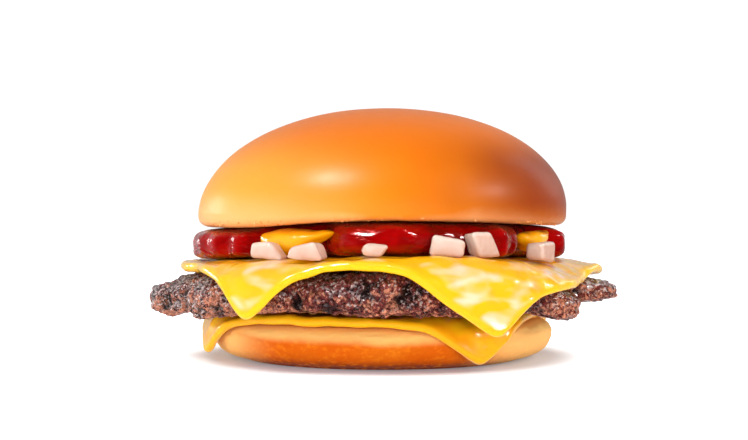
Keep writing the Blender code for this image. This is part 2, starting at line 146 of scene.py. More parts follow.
# Onion dice, for the ketchup's pockets: azimuth, distance from the axis, half length on the rim, half depth
ONION_DICE = lengths(
    (236.0, 49.8, 4.9, 2.5), (249.8, 52.2, 5.2, 2.6), (267.5, 52.2, 3.6, 1.9), (287.6, 50.0, 4.5, 2.7),
    (298.8, 49.4, 4.7, 2.6), (322.6, 50.0, 4.5, 2.6), (5.0, 46.5, 3.8, 2.7), (33.5, 48.0, 4.6, 2.6),
    (67.0, 48.0, 4.1, 2.8), (80.0, 50.2, 3.9, 2.3), (96.5, 50.2, 4.4, 2.3), (125.5, 48.5, 4.2, 2.7),
    (157.0, 47.5, 4.5, 2.5),
)

PATTY_BOTTOM = HEEL_HEIGHT + CHEESE_THICKNESS + 2 * CHEESE_AIR
PATTY_TOP = PATTY_BOTTOM + PATTY_THICKNESS

# Stage: each light stands some way out from the middle, and the camera 400 mm in front
STAGE_MIDDLE = Vector((0, 0, 35 * MM))
KEY_WAY = (-0.455, -0.418, 0.784)
CAMERA_PLACE = (-2.3 * MM, -400 * MM, 41 * MM)
CAMERA_TURN = (math.radians(90 - 0.6), 0, 0)
CAMERA_LENS = 70.3
CAMERA_SENSOR = 36
WHITE = (1, 1, 1)


def colour(name, description, value):
    return FloatVectorProperty(
        name=name, description=description, default=value, size=3, subtype="COLOR", min=0, max=1
    )


def amount(name, description, value, unit="NONE"):
    return FloatProperty(name=name, description=description, default=value, min=0, unit=unit)


def length(name, description, value):
    return amount(name, description, value, "LENGTH")


def power(name, description, value):
    return amount(name, description, value, "POWER")


class BunSettings(bpy.types.PropertyGroup):
    top: colour("Top", "Crust at the top of the crown", (0.77, 0.168, 0.0006))
    side: colour("Side", "Crust half way down the crown", (0.76, 0.195, 0.002))
    # Also painted light: laid on the crown's left side, where the light falls.
    pale: colour("Pale", "Lighter crust on the less baked side", (0.90, 0.385, 0.055))
    # Also painted on the crown's lower left as a pale reflection.
    rim: colour("Rim", "Pale crust at the crown's rim", (0.90, 0.42, 0.16))
    # Browned specks on the crust and the heel's darker foot, and painted shade on the crown's right shoulder.
    browned_and_shade: colour("Browned", "Darker patches of crust", (0.27, 0.036, 0.001))
    heel: colour("Heel", "Crust of the heel", (0.62, 0.100, 0.001))
    heel_spot: colour("Heel spots", "Lighter dimples in the heel's crust", (0.78, 0.22, 0.008))
    # Also painted light on the heel's left and right ends.
    crumb: colour("Crumb", "Cut bread", (0.99, 0.56, 0.17))
    skin_relief: length("Skin relief", "Depth of the finest wrinkles in the crust", 0.08 * MM)


class PattySettings(bpy.types.PropertyGroup):
    # Also painted shade in the deep crags and between the grains.
    char: colour("Char", "Darkest seared meat", (0.012, 0.004, 0.004))
    seared: colour("Seared", "Brown seared meat", (0.23, 0.036, 0.030))
    inner: colour("Inner", "Paler meat in the torn edge", (0.78, 0.28, 0.16))
    ash: colour("Ash", "Greyish frosting on the seared crust", (0.44, 0.34, 0.34))
    # Painted highlights: pale sparkle on the grains and glints on the greasy end.
    painted_glint_colour: colour("Sparks", "Pale dry grains and wet glints", (0.80, 0.66, 0.62))
    greasy: colour("Greasy", "Glazed meat at the greasy end", (0.20, 0.022, 0.012))
    granule: length("Granule", "Size of the minced grains", 2.4 * MM)
    granule_relief: length("Granule relief", "How far the grains stand out", 0.9 * MM)
    grit_relief: length("Grit relief", "Depth of the finest crust", 0.55 * MM)


class CheeseSettings(bpy.types.PropertyGroup):
    slice_colour: colour("Cheese", "Melted cheese", (0.92, 0.48, 0.004))
    # Also painted shade on the slice under the patty.
    deep_colour: colour("Deep", "Cheese in the thinner, warmer patches", (0.95, 0.33, 0.002))
    edge_colour: colour("Edge", "Cheese at the rim", (0.95, 0.50, 0.006))
    # Painted reflection: pale sheen patches on the melted cheese.
    sheen_colour: colour("Milky", "Paler, greasy patches", (0.90, 0.70, 0.60))
    swell: length("Swell", "Height of the slow swells in the melted surface", 0.6 * MM)
    ripple: length("Ripple", "Height of the short ripples", 0.08 * MM)


class SauceSettings(bpy.types.PropertyGroup):
    ketchup: colour("Ketchup", "Ketchup", (0.33, 0.0003, 0.0004))
    ketchup_deep: colour("Deep ketchup", "Thicker ketchup", (0.20, 0.0002, 0.0003))
    mustard: colour("Mustard", "Mustard", (0.98, 0.44, 0.001))
    swell: length("Swell", "Height of the folds in the sauces", 2.2 * MM)


class OnionSettings(bpy.types.PropertyGroup):
    flesh: colour("Flesh", "Raw white onion", (0.70, 0.56, 0.48))
    # Also painted shade on faces turned right and down; darker and pinker towards the bottom of each die.
    low_tint_and_shade: colour("Stained", "Onion stained by the sauces", (0.56, 0.29, 0.20))
    layer: colour("Layer", "Lines between the layers", (0.78, 0.55, 0.44))
    layer_spacing: length("Layer spacing", "Distance between the layers", 3.2 * MM)


class CrumbSettings(bpy.types.PropertyGroup):
    size: length("Size", "Size of a bread crumb", 0.6 * MM)
    per_area: amount("Per area", "Crumbs for each square metre of rim", 400000)
    seed: IntProperty(name="Seed", description="Seed of the scatter", default=3, min=0)


class StageSettings(bpy.types.PropertyGroup):
    floor: colour("Floor", "Floor", (0.70, 0.72, 0.76))
    # Painted shadow: the floor's dim glow close to the burger.
    shadow_glow: colour("Floor glow", "Light of the white floor close by", (0.12, 0.14, 0.16))
    walls: amount("Walls", "Light of the white walls", 0.50)
    mirrored: amount("Mirrored", "Back wall as glossy things show it", 0.60)
    front: amount("Front", "The same behind the camera", 0.02)
    key: power("Key", "Power of the key light", 1.25)
    front_fill: power("Front fill", "Power of the front fill", 3.1)
    left_fill: power("Left fill", "Power of the left fill", 2.2)
    right_fill: power("Right fill", "Power of the right fill", 1.5)
    rim: power("Rim", "Power of the rim light", 0.22)
    glint: power("Glint", "Key light in glossy things only", 4.6)


# Nodes


class Socket:
    """A node's output. Python's operators on one that holds a number add Math nodes."""

    def __init__(self, nodes, socket):
        self.nodes = nodes
        self.socket = socket

    def math(self, operation, *others, first=None, clamp=False):
        terms = [self, *others] if first is None else [first, self, *others]
        sockets = dict(enumerate(terms))
        return self.nodes.node("ShaderNodeMath", {"operation": operation, "use_clamp": clamp}, sockets)

    def __add__(self, other):
        return self.math("ADD", other)

    def __sub__(self, other):
        return self.math("SUBTRACT", other)

    def __rsub__(self, other):
        return self.math("SUBTRACT", first=other)

    def __mul__(self, other):
        return self.math("MULTIPLY", other)

    def __truediv__(self, other):
        return self.math("DIVIDE", other)

    def __rtruediv__(self, other):
        return self.math("DIVIDE", first=other)

    def __pow__(self, other):
        return self.math("POWER", other)

    def __abs__(self):
        return self.math("ABSOLUTE")

    def between(self, low, high):
        """0 at low and 1 at high, with a smooth turn at both ends."""
        sockets = {"Value": self, "From Min": low, "From Max": high}
        return self.nodes.node("ShaderNodeMapRange", {"interpolation_type": "SMOOTHSTEP"}, sockets)

    __radd__ = __add__
    __rmul__ = __mul__


class Nodes:
    """A node tree being made, with one method that adds every node."""

    def __init__(self, tree):
        self.tree = tree

    def node(self, kind, settings=None, sockets=None, out=0):
        """Adds a node with its settings, values and links, and returns one output, or all for None."""
        node = self.tree.nodes.new(kind)
        for name, value in (settings or {}).items():
            if name == "stops":
                self.set_stops(node.color_ramp, value)
            else:
                setattr(node, name, value)
        return self.fill(node, sockets or {}, out)

    def fill(self, node, sockets, out=0):
        for name, value in sockets.items():
            if isinstance(value, Socket):
                self.tree.links.new(value.socket, node.inputs[name])
            elif node.inputs[name].type == "RGBA":
                node.inputs[name].default_value = (*value, 1)
            else:
                node.inputs[name].default_value = value
        if out is None:
            return {output.name: Socket(self, output) for output in node.outputs}
        return Socket(self, node.outputs[out]) if len(node.outputs) else None

    def set_stops(self, ramp, stops):
        while len(ramp.elements) < len(stops):
            ramp.elements.new(1)
        for element, (position, rgb) in zip(ramp.elements, stops):
            element.position = position
            element.color = (*rgb, 1)

    def split(self, vector):
        return list(self.node("ShaderNodeSeparateXYZ", {}, {0: vector}, out=None).values())


class Finish(Nodes):
    """A material being made."""

    def __init__(self, name):
        self.material = bpy.data.materials.new(name)
        self.material.use_nodes = True
        super().__init__(self.material.node_tree)
        self.place = self.node("ShaderNodeTexCoord", out="Object")
        self.x, self.y, self.z = self.split(self.place)

    def facing(self):
        """The way the surface faces, as its parts along x, y and z."""
        return self.split(self.node("ShaderNodeNewGeometry", out="Normal"))

    def noise(self, size, detail=2.0, roughness=0.5, stretch=None, distortion=0.0):
        """Cloudy noise with features of a real size, from 0 to 1."""
        place = self.place if stretch is None else self.stretched(stretch)
        settings = {"Vector": place, "Scale": 1 / size, "Detail": detail, "Roughness": roughness}
        settings["Distortion"] = distortion
        return self.node("ShaderNodeTexNoise", {}, settings)

    def grains(self, size, warp):
        """Packed grains of a real size: a random number for each grain, and the distance from its middle."""
        settings = {"Vector": self.place, "Scale": 1 / size, "Detail": 2.0}
        drift = self.node("ShaderNodeTexNoise", {}, settings, out="Color")
        steps = {0: drift, 1: (warp, warp, warp), 2: self.place}
        place = self.node("ShaderNodeVectorMath", {"operation": "MULTIPLY_ADD"}, steps)
        grain = self.node("ShaderNodeTexVoronoi", {}, {"Vector": place, "Scale": 1 / size}, out=None)
        tone, _, _ = self.split(grain["Color"])
        return tone, grain["Distance"]

    def stretched(self, scale):
        return self.node("ShaderNodeMapping", {}, {"Vector": self.place, "Scale": scale})

    def attribute(self, name):
        return self.node("ShaderNodeAttribute", {"attribute_name": name}, out="Fac")

    def blend(self, share, first, second):
        """first where share is 0 and second where it is 1, as a colour."""
        return self.node("ShaderNodeMix", {"data_type": "RGBA"}, {0: share, 6: first, 7: second}, out=2)

    def relief(self, height, distance, strength=1.0, below=None):
        sockets = {"Height": height, "Distance": distance, "Strength": strength}
        if below is not None:
            sockets["Normal"] = below
        return self.node("ShaderNodeBump", {}, sockets)

    def done(self, surface, roughness, bump=None, specular=0.5, tint=WHITE, depth=None, coat=None, glow=None):
        """Sets the shader and returns the material.

        depth is how light goes in: its weight, the share of each colour and the distance. coat is the weight
        and roughness of a clear coat, and glow a colour that the surface gives off.
        """
        sockets = {"Base Color": surface, "Roughness": roughness}
        sockets.update({"Specular IOR Level": specular, "Specular Tint": tint})
        if bump:
            sockets["Normal"] = bump
        for group, parts, values in (
            ("Subsurface", ("Weight", "Radius", "Scale"), depth),
            ("Coat", ("Weight", "Roughness"), coat),
            ("Emission", ("Color", "Strength"), glow and (glow, 1.0)),
        ):
            sockets.update({f"{group} {part}": value for part, value in zip(parts, values or ())})
        self.fill(self.tree.nodes["Principled BSDF"], sockets)
        return self.material


# Materials


def crust_finish(look):
    finish = Finish("crust")
    cloud = finish.noise(26 * MM, detail=2)
    fine = finish.noise(3.5 * MM, detail=4, roughness=0.6)
    height = (finish.z - 34.5 * MM) / (33 * MM)
    tone = height + (cloud - 0.5) * 0.22 + (fine - 0.5) * 0.04
    stops = [(0.0, look.rim), (0.03, look.rim), (0.15, look.side), (0.60, look.top), (1.0, look.top)]
    baked = finish.node("ShaderNodeValToRGB", {"stops": stops}, {"Fac": tone}, out="Color")
    side = finish.x / CROWN_RADIUS + (cloud - 0.5) * 0.3
    left = 1 - side.between(-1.0, 0.15)
    # Painted light: the crown's left side, where the light falls, is painted paler, and its lower part takes
    # the rim colour as a painted pale reflection.
    baked = finish.blend(left * (1 - height.between(0.45, 0.9)) * 0.8, baked, look.pale)
    baked = finish.blend(left * (1 - height.between(0.06, 0.34)) * 0.85, baked, look.rim)
    # Painted shade: the crown's right shoulder, away from the light, is painted darker.
    shoulder = 1 - abs(height - 0.36).between(0.12, 0.5)
    browned_and_shade = finish.blend(side.between(-0.05, 0.78) * shoulder, baked, look.browned_and_shade)
    speckle = finish.noise(0.9 * MM, detail=3).between(0.62, 0.8)
    surface = finish.blend(speckle * 0.05, browned_and_shade, look.browned_and_shade)
    pores = finish.noise(0.55 * MM, detail=3, roughness=0.6)
    skin = finish.noise(2.4 * MM, detail=3, roughness=0.5, stretch=(1, 1, 1.8))
    bump = finish.relief(skin * 0.6 + pores * 0.4, look.skin_relief, strength=0.5)
    roughness = 0.36 + (fine - 0.5) * 0.10
    return finish.done(surface, roughness, bump, 0.15, depth=(0.06, (1.0, 0.3, 0.05), 2.0 * MM))


def heel_finish(look):
    finish = Finish("heel_crust")
    cloud = finish.noise(14 * MM, detail=3)
    wrinkle = finish.noise(1.8 * MM, detail=4, roughness=0.62, stretch=(1, 1, 1.4))
    height = finish.z + (cloud - 0.5) * 2.0 * MM
    cut = height.between(6.2 * MM, 9.0 * MM)
    # Painted light: the heel's left and right ends, where the side lights fall, are painted with the pale
    # crumb colour.
    reach = abs(finish.x + 4 * MM + (cloud - 0.5) * 9 * MM).between(22 * MM, 40 * MM)
    crust = finish.blend((wrinkle.between(0.46, 0.7) * 0.5 + (cloud - 0.45)), look.heel, look.heel_spot)
    # Darker towards the bottom.
    foot = 1 - height.between(0.6 * MM, 3.0 * MM)
    crust = finish.blend(foot * (1.1 - wrinkle.between(0.5, 0.62)) * 0.75, crust, look.browned_and_shade)
    surface = finish.blend(cut.math("MAXIMUM", reach * 0.8), crust, look.crumb)
    bump = finish.relief(wrinkle, 0.32 * MM, strength=0.8)
    return finish.done(surface, 0.6, bump, 0.06, depth=(0.12, (1.0, 0.45, 0.15), 2.0 * MM))


def meat_finish(look):
    finish = Finish("meat")
    crag = finish.attribute("crag")
    torn = finish.attribute("torn")
    patch = (finish.noise(4.6 * MM, detail=2) - 0.5) * 1.3
    grit = finish.noise(0.32 * MM, detail=2, roughness=0.7)
    tone, middle = finish.grains(0.85 * MM, 0.6 * MM)
    fine_tone, fine_middle = finish.grains(0.5 * MM, 0.4 * MM)
    mixed = 0.5 + (tone - 0.5) * 0.34 + (fine_tone - 0.5) * 0.26 + patch * 0.9 + (grit - 0.5) * 0.3
    brown = finish.blend(mixed.between(0.20, 0.46), look.char, look.seared)
    greasy = finish.x.between(36 * MM, 48 * MM)
    # Painted light: the patty's left end, where the light falls, is painted paler, with more grey frosting
    # and sparkle.
    lit_left = (0 - finish.x).between(20 * MM, 50 * MM)
    pale = (mixed + torn * 0.22 + lit_left * 0.21 + greasy * 0.11).between(0.73, 0.88)
    fleshy = finish.blend(pale, brown, look.inner)
    # Painted shade: the deep crags and the gaps between grains are darkened to the char colour.
    crevice_shade = crag.between(0.42, 0.75).math("MAXIMUM", middle.between(0.45, 0.8) * 0.6)
    surface = finish.blend(crevice_shade, fleshy, look.char)
    up = finish.facing()[2]
    frosting = (fine_tone * 0.45 + grit * 0.35 - patch * 0.8 + lit_left * 0.12).between(0.50, 0.66)
    frosting = frosting * up.between(-0.5, 0.5) * (0.8 - greasy * 0.6)
    surface = finish.blend(frosting, surface, look.ash)
    surface = finish.blend(greasy * (0.9 - pale) * 0.7, surface, look.greasy)
    # Painted highlights: glints on the greasy end and sparkle on the grains, on faces turned up.
    painted_glints = finish.noise(2.0 * MM, detail=1.5).between(0.55, 0.60) * greasy * up.between(-0.1, 0.4)
    painted_sparkle = (fine_tone + lit_left * 0.14).between(0.88, 0.97) * up.between(-0.7, 0.3) * (0.75 - crevice_shade * 0.5)
    surface = finish.blend(painted_sparkle.math("MAXIMUM", painted_glints), surface, look.painted_glint_colour)
    bump = finish.relief(grit, 0.5 * MM, strength=1.0)
    bump = finish.relief(1 - fine_middle, 0.5 * MM, strength=0.9, below=bump)
    bump = finish.relief(1 - middle, 0.9 * MM, strength=0.9, below=bump)
    coat = (0.35 + greasy * 0.65, 0.06)
    return finish.done(surface, 0.12 + grit * 0.35, bump, 0.35, (1, 0.8, 0.75), coat=coat)


def cheese_finish(look):
    finish = Finish("cheese")
    rim = finish.attribute("rim")
    cloud = finish.noise(9 * MM, detail=2)
    fine = finish.noise(1.6 * MM, detail=3)
    # Painted shade: the slice under the patty is painted deeper orange, as cheese looks in shade, with a
    # deeper rim and less sheen.
    warm = finish.attribute("warm")
    golden = finish.x.between(-5 * MM, 30 * MM) * (1 - finish.x.between(38 * MM, 50 * MM))
    deep = (cloud + warm * 0.14).between(0.50, 0.72) * (0.35 + golden * 0.4 + warm * 0.2) + golden * 0.22
    body = finish.blend(deep, look.slice_colour, look.deep_colour)
    # Painted reflection: pale patches stand in for the sheen of the greasy cheese.
    sheen_cloud = finish.noise(6.5 * MM, detail=1.4, roughness=0.45, distortion=0.35, stretch=(0.75, 0.75, 1.7))
    painted_sheen = (sheen_cloud - warm * 0.10).between(0.48, 0.76) * (1 - rim)
    body = finish.blend(painted_sheen * 0.7, body, look.sheen_colour)
    edge = finish.blend(warm * 0.3 + golden * 0.25, look.edge_colour, look.deep_colour)
    surface = finish.blend(rim * 0.9, body, edge)
    bump = finish.relief(fine, 0.06 * MM, strength=0.5)
    lying = finish.facing()[2].between(0.75, 0.97) * finish.x.between(25 * MM, 45 * MM)
    bump = finish.relief(cloud * (1 - lying * 0.8), 1.4 * MM, strength=0.7, below=bump)
    depth = (0.3, (1.0, 0.42, 0.04), 2.0 * MM)
    return finish.done(surface, 0.22 + (fine - 0.5) * 0.1, bump, 0.4, depth=depth, coat=(0.5, 0.10))


def ketchup_finish(look):
    finish = Finish("ketchup")
    pulp = finish.noise(0.9 * MM, detail=4, roughness=0.6)
    cloud = finish.noise(7 * MM, detail=2)
    runs = finish.noise(3.2 * MM, detail=1, distortion=0.6, stretch=(0.7, 0.7, 1.4))
    surface = finish.blend(cloud.between(0.4, 0.65), look.ketchup, look.ketchup_deep)
    bump = finish.relief(pulp, 0.05 * MM, strength=0.4)
    bump = finish.relief(cloud * 0.5 + runs * 0.7, 1.8 * MM, strength=0.8, below=bump)
    depth = (0.1, (1.0, 0.02, 0.02), 1.2 * MM)
    return finish.done(surface, 0.18 + pulp * 0.05, bump, 0.3, (1, 0.1, 0.08), depth, coat=(0.5, 0.03))


def mustard_finish(look):
    finish = Finish("mustard")
    speck = finish.noise(0.6 * MM, detail=3).between(0.6, 0.78)
    cloud = finish.noise(4 * MM, detail=2)
    surface = finish.blend(speck * 0.2, look.mustard, (0.80, 0.22, 0.001))
    bump = finish.relief(cloud, 0.8 * MM, strength=0.6)
    depth = (0.3, (1.0, 0.45, 0.03), 1.6 * MM)
    return finish.done(surface, 0.2 + cloud * 0.1, bump, depth=depth, coat=(0.4, 0.08))


def onion_finish(look):
    finish = Finish("onion")
    warp = finish.noise(6 * MM, detail=2)
    across = (finish.x * 0.8 + finish.y * 0.5 + finish.z * 0.35) / look.layer_spacing + warp * 2.2
    line = 1 - abs(across.math("FRACT") - 0.5).between(0.0, 0.14)
    cells = finish.noise(0.5 * MM, detail=2)
    flesh = finish.blend(line * 0.4 + (cells - 0.5) * 0.2, look.flesh, look.layer)
    # Darker and pinker towards the bottom, unevenly, and painted shade on faces turned right and down.
    low = 1 - (finish.z + bow(finish.x)).between(28.5 * MM, 34.0 * MM)
    right, _, up = finish.facing()
    shaded_side = (right * 0.6 - up * 0.5).between(-0.3, 0.8)
    low_tint_and_shade = (low * (warp * 1.6 - 0.2)).math("MAXIMUM", shaded_side, clamp=True)
    surface = finish.blend(low_tint_and_shade, flesh, look.low_tint_and_shade)
    bump = finish.relief(cells * 0.3 - line * 0.6, 0.12 * MM, strength=0.6)
    return finish.done(surface, 0.26, bump, depth=(0.3, (1.0, 0.72, 0.55), 2.4 * MM), coat=(0.2, 0.1))


def crumb_finish(look):
    finish = Finish("crumb")
    tone = finish.noise(1.2 * MM, detail=2)
    surface = finish.blend(tone.between(0.35, 0.7), look.rim, look.side)
    return finish.done(surface, 0.7, specular=0.2)


# Shapes


def angle_from(azimuth, centre):
    """Signed angle in degrees from a centre azimuth, the short way round."""
    return (np.degrees(azimuth) - centre + 180) % 360 - 180


def bumps(azimuth, rows, power=2.0, softness=0.0):
    """Sum of rounded bumps round the axis, each (azimuth, height, width in degrees)."""
    total = np.zeros_like(np.asarray(azimuth, float))
    for centre, height, width in rows:
        away = np.hypot(angle_from(azimuth, centre), softness) - softness
        total += height * np.exp(-((away / width) ** power))
    return total


def ramp(value, low, high):
    """0 below low and 1 above high, with a smooth turn at both ends."""
    share = np.clip((value - low) / (high - low), 0, 1)
    return share * share * (3 - 2 * share)


def cloud(points, size, seed=0, shift=None):
    """Smooth noise at each point, between about -1 and 1."""
    shift = shift or (seed * 7.3, seed * 3.1, seed * 5.9)
    return np.array([noise.noise(place) for place in (points / size + shift).tolist()])


def cell_distances(points, size):
    """Distances to the two nearest of a cloud of scattered centres, in shares of the size, at each point."""
    near = np.array([noise.voronoi(place)[0][:2] for place in (points / size).tolist()])
    return near[:, 0], near[:, 1]


def bow(x):
    """How far the layers hang down at a distance x to the side, in numbers or in nodes."""
    return LAYER_BOW * (x / CROWN_RADIUS) ** 2


def patty_radius(azimuth):
    return PATTY_RADIUS + bumps(azimuth, PATTY_LOBES)


def patty_height(rho, azimuth, side):
    """Height of the patty's smooth upper (side 1) or lower (side -1) surface."""
    top_droop = bumps(azimuth, PATTY_TOP_DROOP) * ramp(rho, PATTY_TOP_DROOP_FROM, PATTY_DROOP_FULL)
    low_droop = bumps(azimuth, PATTY_LOW_DROOP) * ramp(rho, PATTY_LOW_DROOP_FROM, PATTY_DROOP_FULL)
    top = PATTY_TOP - bow(rho * np.cos(azimuth)) - top_droop
    bottom = PATTY_BOTTOM - low_droop
    across, upright = PATTY_POWERS
    rounding = (1 - np.clip(rho / patty_radius(azimuth), 0, 1) ** across) ** (1 / upright)
    return (top + bottom) / 2 + side * (top - bottom) / 2 * rounding


def heel_height(rho, azimuth, side):
    """Height of the heel's upper (side 1) or lower (side -1) surface."""
    across, upright = HEEL_POWERS
    rounding = (1 - np.clip(rho / HEEL_RADIUS, 0, 1) ** across) ** (1 / upright)
    rise = HEEL_HEIGHT - HEEL_WIDEST if side > 0 else HEEL_WIDEST
    return HEEL_WIDEST + side * rise * rounding


def draped_path(height, radius, azimuth, lift, hang, tail=40 * MM, steps=260):
    """A line that lies on a round layer and hangs over its rim, as in the part's source."""
    rho = radius * (1 - (1 - np.linspace(0, 1, steps)) ** 3)
    points = np.stack([rho, height(rho, azimuth, 1)], axis=1)
    along = np.gradient(points, axis=0)
    along /= np.linalg.norm(along, axis=1)[:, None]
    steep = np.arctan2(-along[:, 1], along[:, 0])
    stop = int(np.argmax(steep > hang)) if (steep > hang).any() else steps
    along = along[:stop]
    normals = np.stack([-along[:, 1], along[:, 0]], axis=1)
    air = CHEESE_STAND_OFF * ramp(steep[:stop], math.radians(4), math.radians(20))
    points = points[:stop] + (lift + air)[:, None] * normals
    down = np.array([math.cos(hang), -math.sin(hang)])
    out = np.array([math.sin(hang), math.cos(hang)])
    points = np.vstack([points, points[-1] + down * tail])
    normals = np.vstack([normals, out])
    gone = np.concatenate([[0], np.cumsum(np.linalg.norm(np.diff(points, axis=0), axis=1))])
    return gone, points, normals


def drape_table(turns, distances, height, radius, lift, hang):
    """The draped line and its normals at some distances along it, for a round of azimuths."""
    table = []
    for turn in turns:
        here = radius(turn) if callable(radius) else radius
        gone, line, normals = draped_path(height, here, turn, lift, hang)
        table.append([np.interp(distances, gone, values) for values in (*line.T, *normals.T)])
    steps = np.arange(-10, 11)
    shares = np.exp(-0.5 * (steps / 4) ** 2)
    return sum(share * np.roll(table, step, axis=0) for step, share in zip(steps, shares / shares.sum()))


def cheese_top_line(azimuth):
    """The top slice's upper surface along one azimuth, as distances from the axis and heights."""
    lift = CHEESE_AIR + CHEESE_THICKNESS
    _, points, _ = draped_path(patty_height, patty_radius(azimuth), azimuth, lift, TOP_SLICE_HANG)
    return points[:, 0], points[:, 1]


def crown_underside(x):
    """Height of the crown's cut face at a distance x to the side."""
    place, depth, width = CROWN_SAG
    return CROWN_UNDERSIDE - bow(x) - depth * np.exp(-(((x - place) / width) ** 2))


def columns_of(azimuth):
    """The indices of the points, as one array for each azimuth."""
    order = np.argsort(azimuth, kind="stable")
    return np.split(order, np.flatnonzero(np.diff(azimuth[order])) + 1)


def polar_points(rho, azimuth, height):
    return np.stack([rho * np.cos(azimuth), rho * np.sin(azimuth), height], axis=1)


def ball_mesh(name, columns, rings, place):
    """A ball whose points are moved to place(azimuths, polar angles, mesh). Its two poles come last."""
    azimuth = np.append(np.tile(np.arange(columns) * math.tau / columns, rings - 1), (0, 0))
    polar = np.append(np.repeat(np.arange(1, rings) * math.pi / rings, columns), (0, math.pi))
    here = np.arange(columns)
    ahead = np.roll(here, -1)
    below = np.arange(rings - 2)[:, None] * columns
    bands = np.stack([below + here, below + columns + here, below + columns + ahead, below + ahead], axis=2)
    top, bottom, last = len(polar) - 2, len(polar) - 1, (rings - 2) * columns
    caps = [(top, first, second) for first, second in zip(here.tolist(), ahead.tolist())]
    caps += [(last + first, bottom, last + second) for first, second in zip(here.tolist(), ahead.tolist())]
    points = polar_points(np.sin(polar), azimuth, np.cos(polar))
    mesh = bpy.data.meshes.new(name)
    mesh.from_pydata(points.tolist(), [], bands.reshape(-1, 4).tolist() + caps)
    placed = place(azimuth, polar, mesh)
    mesh.vertices.foreach_set("co", placed.astype(np.float32).ravel())
    mesh.shade_smooth()
    mesh.update()
    return mesh


def store(mesh, name, values):
    """Keeps a number at each point of the mesh for its material."""
    attribute = mesh.attributes.new(name, "FLOAT", "POINT")
    attribute.data.foreach_set("value", values.astype(np.float32))


def ball_normals(mesh, points):
    """Unit normals of the mesh if its points were at these places."""
    mesh.vertices.foreach_set("co", points.astype(np.float32).ravel())
    mesh.update()
    normals = np.empty(len(mesh.vertices) * 3, np.float32)
    mesh.vertex_normals.foreach_get("vector", normals)
    return normals.reshape(-1, 3)


def crown_place(azimuth, polar, mesh):
    across, upright = CROWN_LOW_POWERS
    up = np.cos(polar) > 0
    rho = CROWN_RADIUS * np.where(up, np.sin(polar), np.abs(np.sin(polar)) ** (2 / across))
    fall = CROWN_WIDEST - crown_underside(rho * np.cos(azimuth))
    low = CROWN_WIDEST - fall * np.abs(np.cos(polar)) ** (2 / upright)
    points = polar_points(rho, azimuth, np.where(up, CROWN_WIDEST + CROWN_RISE * np.cos(polar), low))
    points[up, 0] += CROWN_LEAN * np.sin(2 * polar[up])
    swell = BUN_UNEVENNESS * cloud(points, BUN_WAVE, 1) * np.sin(np.minimum(polar, math.pi / 2))
    points[:, :2] *= (1 + swell / CROWN_RADIUS)[:, None]
    points[up, 2] += BUN_UNEVENNESS * cloud(points[up], BUN_WAVE, 2) * np.cos(polar[up])
    normals = ball_normals(mesh, points)
    rim = 1 - ramp(points[:, 2], 38 * MM, 44 * MM)
    pucker = cloud(points * (1, 1, 2.2), 2.6 * MM, 5) * 0.07 * MM * rim
    dimples = cloud(points, 9 * MM, 6) * 0.06 * MM
    return points + normals * (pucker + dimples)[:, None]


def heel_place(azimuth, polar, mesh):
    rho = HEEL_RADIUS * np.abs(np.sin(polar)) ** (2 / HEEL_POWERS[0])
    upper = np.cos(polar) > 0
    height = np.where(upper, heel_height(rho, azimuth, 1), heel_height(rho, azimuth, -1))
    points = polar_points(rho, azimuth, height)
    foot = ~upper & (rho < HEEL_FOOT_RADIUS)
    points[foot, 2] = 0
    swell = BUN_UNEVENNESS * np.minimum(cloud(points, BUN_WAVE, 3), 0) * (1 - np.abs(np.cos(polar)))
    points[:, :2] *= (1 + swell / HEEL_RADIUS)[:, None]
    normals = ball_normals(mesh, points)
    side = ramp(rho, 41 * MM, 45 * MM) * ramp(points[:, 2], 0.2 * MM, 2.0 * MM)
    wrinkle = cloud(points * (1, 1, 1.6), 2.2 * MM, 8) * 0.14 * MM + cloud(points, 1.0 * MM, 9) * 0.05 * MM
    dimple = -0.22 * MM * np.maximum(cloud(points, 3.6 * MM, 10) - 0.15, 0)
    return points + normals * ((wrinkle + dimple) * side)[:, None]


def patty_place(look):
    """The mapping for the patty: an irregular round with drooping lobes, torn and crumbly at its edge."""

    def place(azimuth, polar, mesh):
        share = np.abs(np.sin(polar)) ** 0.42
        rho = patty_radius(azimuth) * share
        upper = patty_height(rho, azimuth, 1)
        lower = patty_height(rho, azimuth, -1)
        height = np.where(np.cos(polar) > 0, upper, lower)
        points = polar_points(rho, azimuth, height)
        seen = share > 0.72
        depth = np.zeros(len(points))
        shown = points[seen]
        lump = cloud(shown, CRAG_SIZE, shift=(3.7, 9.1, 1.3))
        crumb = cloud(shown, CRUMBLE_SIZE, shift=(8.2, 0.4, 6.6))
        base = np.clip(0.5 + 0.75 * lump + 0.45 * crumb, 0, 1.3) * CRAG_DEPTH
        near, second = cell_distances(shown, look.granule)
        grains = ramp(near, 0.1, 0.75) * 0.6 + (1 - ramp(second - near, 0.0, 0.22)) * 0.4
        grit = 0.5 + 0.5 * cloud(shown, 0.9 * MM, 12)
        depth[seen] = base + look.granule_relief * grains + look.grit_relief * grit
        edge = ramp(share, 0.72, 1.0)
        points[:, :2] *= (1 - depth * edge / np.maximum(rho, MM))[:, None]
        flat = ramp(np.abs(np.cos(polar)), 0.0, 0.5)
        middle = (upper + lower) / 2
        points[:, 2] += (middle - height) * np.minimum(flat * depth * 0.7 / (PATTY_THICKNESS / 2), 0.9)
        deepest = CRAG_DEPTH * 1.3 + look.granule_relief + look.grit_relief
        store(mesh, "crag", depth / deepest)
        below = 1 - ramp((points[:, 2] - lower) / PATTY_THICKNESS, 0.0, 0.55)
        store(mesh, "torn", below * edge)
        return points

    return place


